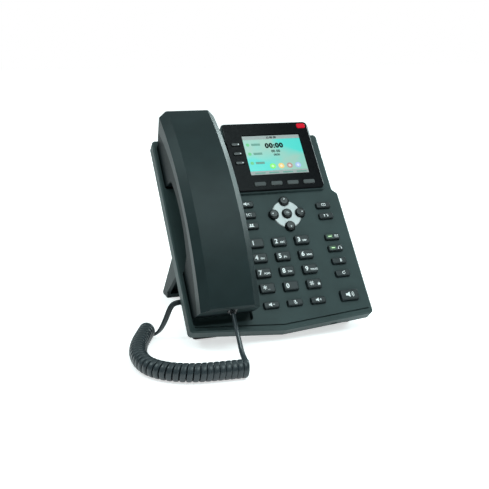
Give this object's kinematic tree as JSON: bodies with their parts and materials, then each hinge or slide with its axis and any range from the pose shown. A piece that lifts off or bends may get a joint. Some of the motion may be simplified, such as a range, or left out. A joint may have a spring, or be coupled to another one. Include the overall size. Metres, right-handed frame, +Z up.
{
  "type": "desk ip phone",
  "caption": "Sloped desk phone with a cradled handset, colour display, navigation pad, dial keys, rear stand and a curly handset cord.",
  "frame": {"origin": "on the desk under the middle of the phone's bounding box, the cord left out", "axes": "+Z up from the desk, the phone faces -Y, +X to the right as seen by the user"},
  "size_m": [0.2183, 0.2409, 0.1845],
  "materials": {
    "case_plastic": "fine-grained moulded plastic",
    "handset_plastic": "satin moulded plastic",
    "key_plastic": "satin key caps with white legends",
    "nav_key_plastic": "polished domed key caps",
    "soft_key_plastic": "satin grey",
    "bezel_gloss": "polished black",
    "display_glass": "lit colour display behind clear glass",
    "lamp_red": "translucent red light pipe",
    "ring_silver": "silver satin plating",
    "mat_rubber": "moulded silicone",
    "board_green": "solder mask",
    "speaker_steel": "stamped frame and paper cone",
    "screw_steel": "zinc plated",
    "jack_plastic": "moulded black",
    "plug_clear": "smoky clear",
    "foot_rubber": "soft moulded pad",
    "cord_jacket": "smooth flexible jacket",
    "capsule_plastic": "moulded capsule"
  },
  "bodies": {
    "base": {"front_shell": "case_plastic", "rear_shell": "case_plastic", "display_bezel": "bezel_gloss", "lcd_module": "display_glass", "message_lamp": "lamp_red", "navigation_ring": "ring_silver", "key_mat": "mat_rubber", "main_board": "board_green", "loudspeaker": "speaker_steel", "case_screws": "screw_steel", "rear_jacks": "jack_plastic", "side_jacks": "jack_plastic", "base_plug": "plug_clear", "front_feet": "foot_rubber", "cord_base_lead": "cord_jacket", "cord_coil": "cord_jacket", "cord_handset_lead": "cord_jacket"},
    "handset": {"handset_cover": "handset_plastic", "handset_base": "handset_plastic", "handset_capsules": "capsule_plastic", "handset_plug": "plug_clear"},
    "stand": {"stand": "case_plastic"},
    "hook_switch": {"hook_switch": "key_plastic"},
    "key_1_cap": {"key_1": "key_plastic"},
    "key_2_cap": {"key_2": "key_plastic"},
    "key_3_cap": {"key_3": "key_plastic"},
    "key_4_cap": {"key_4": "key_plastic"},
    "key_5_cap": {"key_5": "key_plastic"},
    "key_6_cap": {"key_6": "key_plastic"},
    "key_7_cap": {"key_7": "key_plastic"},
    "key_8_cap": {"key_8": "key_plastic"},
    "key_9_cap": {"key_9": "key_plastic"},
    "key_star_cap": {"key_star": "key_plastic"},
    "key_0_cap": {"key_0": "key_plastic"},
    "key_hash_cap": {"key_hash": "key_plastic"},
    "volume_down_key_cap": {"volume_down_key": "key_plastic"},
    "microphone_mute_key_cap": {"microphone_mute_key": "key_plastic"},
    "volume_up_key_cap": {"volume_up_key": "key_plastic"},
    "hold_key_cap": {"hold_key": "key_plastic"},
    "transfer_key_cap": {"transfer_key": "key_plastic"},
    "conference_key_cap": {"conference_key": "key_plastic"},
    "back_key_cap": {"back_key": "key_plastic"},
    "return_key_cap": {"return_key": "key_plastic"},
    "message_key_cap": {"message_key": "key_plastic"},
    "headset_key_cap": {"headset_key": "key_plastic"},
    "redial_key_cap": {"redial_key": "key_plastic"},
    "phonebook_key_cap": {"phonebook_key": "key_plastic"},
    "speaker_key_cap": {"speaker_key": "key_plastic"},
    "nav_ok_key_cap": {"nav_ok_key": "nav_key_plastic"},
    "nav_up_key_cap": {"nav_up_key": "nav_key_plastic"},
    "nav_down_key_cap": {"nav_down_key": "nav_key_plastic"},
    "nav_left_key_cap": {"nav_left_key": "nav_key_plastic"},
    "nav_right_key_cap": {"nav_right_key": "nav_key_plastic"},
    "soft_key_1_cap": {"soft_key_1": "soft_key_plastic"},
    "soft_key_2_cap": {"soft_key_2": "soft_key_plastic"},
    "soft_key_3_cap": {"soft_key_3": "soft_key_plastic"},
    "soft_key_4_cap": {"soft_key_4": "soft_key_plastic"},
    "line_key_1_cap": {"line_key_1": "soft_key_plastic"},
    "line_key_2_cap": {"line_key_2": "soft_key_plastic"},
    "line_key_3_cap": {"line_key_3": "soft_key_plastic"}
  },
  "joints": [
    {"name": "handset_lift", "type": "slide", "parent": "base", "child": "handset", "axis": [0, -0.7593, 0.6508], "range_m": [0, 0.06]},
    {"name": "hook_switch_travel", "type": "slide", "parent": "base", "child": "hook_switch", "axis": [0, -0.7593, 0.6508], "range_m": [0, 0.003]},
    {"name": "stand_release", "type": "slide", "parent": "base", "child": "stand", "axis": [0, 0.6508, 0.7593], "range_m": [0, 0.012]},
    {"name": "key_1_press", "type": "slide", "parent": "base", "child": "key_1_cap", "axis": [0, -0.7593, 0.6508], "range_m": [-0.0012, 0], "stiffness_N_per_m": 400, "springref_m": 0.0004},
    {"name": "key_2_press", "type": "slide", "parent": "base", "child": "key_2_cap", "axis": [0, -0.7593, 0.6508], "range_m": [-0.0012, 0], "stiffness_N_per_m": 400, "springref_m": 0.0004},
    {"name": "key_3_press", "type": "slide", "parent": "base", "child": "key_3_cap", "axis": [0, -0.7593, 0.6508], "range_m": [-0.0012, 0], "stiffness_N_per_m": 400, "springref_m": 0.0004},
    {"name": "key_4_press", "type": "slide", "parent": "base", "child": "key_4_cap", "axis": [0, -0.7593, 0.6508], "range_m": [-0.0012, 0], "stiffness_N_per_m": 400, "springref_m": 0.0004},
    {"name": "key_5_press", "type": "slide", "parent": "base", "child": "key_5_cap", "axis": [0, -0.7593, 0.6508], "range_m": [-0.0012, 0], "stiffness_N_per_m": 400, "springref_m": 0.0004},
    {"name": "key_6_press", "type": "slide", "parent": "base", "child": "key_6_cap", "axis": [0, -0.7593, 0.6508], "range_m": [-0.0012, 0], "stiffness_N_per_m": 400, "springref_m": 0.0004},
    {"name": "key_7_press", "type": "slide", "parent": "base", "child": "key_7_cap", "axis": [0, -0.7593, 0.6508], "range_m": [-0.0012, 0], "stiffness_N_per_m": 400, "springref_m": 0.0004},
    {"name": "key_8_press", "type": "slide", "parent": "base", "child": "key_8_cap", "axis": [0, -0.7593, 0.6508], "range_m": [-0.0012, 0], "stiffness_N_per_m": 400, "springref_m": 0.0004},
    {"name": "key_9_press", "type": "slide", "parent": "base", "child": "key_9_cap", "axis": [0, -0.7593, 0.6508], "range_m": [-0.0012, 0], "stiffness_N_per_m": 400, "springref_m": 0.0004},
    {"name": "key_star_press", "type": "slide", "parent": "base", "child": "key_star_cap", "axis": [0, -0.7593, 0.6508], "range_m": [-0.0012, 0], "stiffness_N_per_m": 400, "springref_m": 0.0004},
    {"name": "key_0_press", "type": "slide", "parent": "base", "child": "key_0_cap", "axis": [0, -0.7593, 0.6508], "range_m": [-0.0012, 0], "stiffness_N_per_m": 400, "springref_m": 0.0004},
    {"name": "key_hash_press", "type": "slide", "parent": "base", "child": "key_hash_cap", "axis": [0, -0.7593, 0.6508], "range_m": [-0.0012, 0], "stiffness_N_per_m": 400, "springref_m": 0.0004},
    {"name": "volume_down_key_press", "type": "slide", "parent": "base", "child": "volume_down_key_cap", "axis": [0, -0.7593, 0.6508], "range_m": [-0.0012, 0], "stiffness_N_per_m": 400, "springref_m": 0.0004},
    {"name": "microphone_mute_key_press", "type": "slide", "parent": "base", "child": "microphone_mute_key_cap", "axis": [0, -0.7593, 0.6508], "range_m": [-0.0012, 0], "stiffness_N_per_m": 400, "springref_m": 0.0004},
    {"name": "volume_up_key_press", "type": "slide", "parent": "base", "child": "volume_up_key_cap", "axis": [0, -0.7593, 0.6508], "range_m": [-0.0012, 0], "stiffness_N_per_m": 400, "springref_m": 0.0004},
    {"name": "hold_key_press", "type": "slide", "parent": "base", "child": "hold_key_cap", "axis": [0, -0.7593, 0.6508], "range_m": [-0.0012, 0], "stiffness_N_per_m": 400, "springref_m": 0.0004},
    {"name": "transfer_key_press", "type": "slide", "parent": "base", "child": "transfer_key_cap", "axis": [0, -0.7593, 0.6508], "range_m": [-0.0012, 0], "stiffness_N_per_m": 400, "springref_m": 0.0004},
    {"name": "conference_key_press", "type": "slide", "parent": "base", "child": "conference_key_cap", "axis": [0, -0.7593, 0.6508], "range_m": [-0.0012, 0], "stiffness_N_per_m": 400, "springref_m": 0.0004},
    {"name": "back_key_press", "type": "slide", "parent": "base", "child": "back_key_cap", "axis": [0, -0.7593, 0.6508], "range_m": [-0.0012, 0], "stiffness_N_per_m": 400, "springref_m": 0.0004},
    {"name": "return_key_press", "type": "slide", "parent": "base", "child": "return_key_cap", "axis": [0, -0.7593, 0.6508], "range_m": [-0.0012, 0], "stiffness_N_per_m": 400, "springref_m": 0.0004},
    {"name": "message_key_press", "type": "slide", "parent": "base", "child": "message_key_cap", "axis": [0, -0.7593, 0.6508], "range_m": [-0.0012, 0], "stiffness_N_per_m": 400, "springref_m": 0.0004},
    {"name": "headset_key_press", "type": "slide", "parent": "base", "child": "headset_key_cap", "axis": [0, -0.7593, 0.6508], "range_m": [-0.0012, 0], "stiffness_N_per_m": 400, "springref_m": 0.0004},
    {"name": "redial_key_press", "type": "slide", "parent": "base", "child": "redial_key_cap", "axis": [0, -0.7593, 0.6508], "range_m": [-0.0012, 0], "stiffness_N_per_m": 400, "springref_m": 0.0004},
    {"name": "phonebook_key_press", "type": "slide", "parent": "base", "child": "phonebook_key_cap", "axis": [0, -0.7593, 0.6508], "range_m": [-0.0012, 0], "stiffness_N_per_m": 400, "springref_m": 0.0004},
    {"name": "speaker_key_press", "type": "slide", "parent": "base", "child": "speaker_key_cap", "axis": [0, -0.7593, 0.6508], "range_m": [-0.0012, 0], "stiffness_N_per_m": 400, "springref_m": 0.0004},
    {"name": "nav_ok_key_press", "type": "slide", "parent": "base", "child": "nav_ok_key_cap", "axis": [0, -0.7593, 0.6508], "range_m": [-0.0012, 0], "stiffness_N_per_m": 400, "springref_m": 0.0004},
    {"name": "nav_up_key_press", "type": "slide", "parent": "base", "child": "nav_up_key_cap", "axis": [0, -0.7593, 0.6508], "range_m": [-0.0012, 0], "stiffness_N_per_m": 400, "springref_m": 0.0004},
    {"name": "nav_down_key_press", "type": "slide", "parent": "base", "child": "nav_down_key_cap", "axis": [0, -0.7593, 0.6508], "range_m": [-0.0012, 0], "stiffness_N_per_m": 400, "springref_m": 0.0004},
    {"name": "nav_left_key_press", "type": "slide", "parent": "base", "child": "nav_left_key_cap", "axis": [0, -0.7593, 0.6508], "range_m": [-0.0012, 0], "stiffness_N_per_m": 400, "springref_m": 0.0004},
    {"name": "nav_right_key_press", "type": "slide", "parent": "base", "child": "nav_right_key_cap", "axis": [0, -0.7593, 0.6508], "range_m": [-0.0012, 0], "stiffness_N_per_m": 400, "springref_m": 0.0004},
    {"name": "soft_key_1_press", "type": "slide", "parent": "base", "child": "soft_key_1_cap", "axis": [0, -0.7593, 0.6508], "range_m": [-0.0012, 0], "stiffness_N_per_m": 400, "springref_m": 0.0004},
    {"name": "soft_key_2_press", "type": "slide", "parent": "base", "child": "soft_key_2_cap", "axis": [0, -0.7593, 0.6508], "range_m": [-0.0012, 0], "stiffness_N_per_m": 400, "springref_m": 0.0004},
    {"name": "soft_key_3_press", "type": "slide", "parent": "base", "child": "soft_key_3_cap", "axis": [0, -0.7593, 0.6508], "range_m": [-0.0012, 0], "stiffness_N_per_m": 400, "springref_m": 0.0004},
    {"name": "soft_key_4_press", "type": "slide", "parent": "base", "child": "soft_key_4_cap", "axis": [0, -0.7593, 0.6508], "range_m": [-0.0012, 0], "stiffness_N_per_m": 400, "springref_m": 0.0004},
    {"name": "line_key_1_press", "type": "slide", "parent": "base", "child": "line_key_1_cap", "axis": [0, -0.7593, 0.6508], "range_m": [-0.0012, 0], "stiffness_N_per_m": 400, "springref_m": 0.0004},
    {"name": "line_key_2_press", "type": "slide", "parent": "base", "child": "line_key_2_cap", "axis": [0, -0.7593, 0.6508], "range_m": [-0.0012, 0], "stiffness_N_per_m": 400, "springref_m": 0.0004},
    {"name": "line_key_3_press", "type": "slide", "parent": "base", "child": "line_key_3_cap", "axis": [0, -0.7593, 0.6508], "range_m": [-0.0012, 0], "stiffness_N_per_m": 400, "springref_m": 0.0004}
  ],
  "couplings": [
    {"joint": "hook_switch_travel", "follows": "handset_lift", "ratio": 0.05}
  ]
}
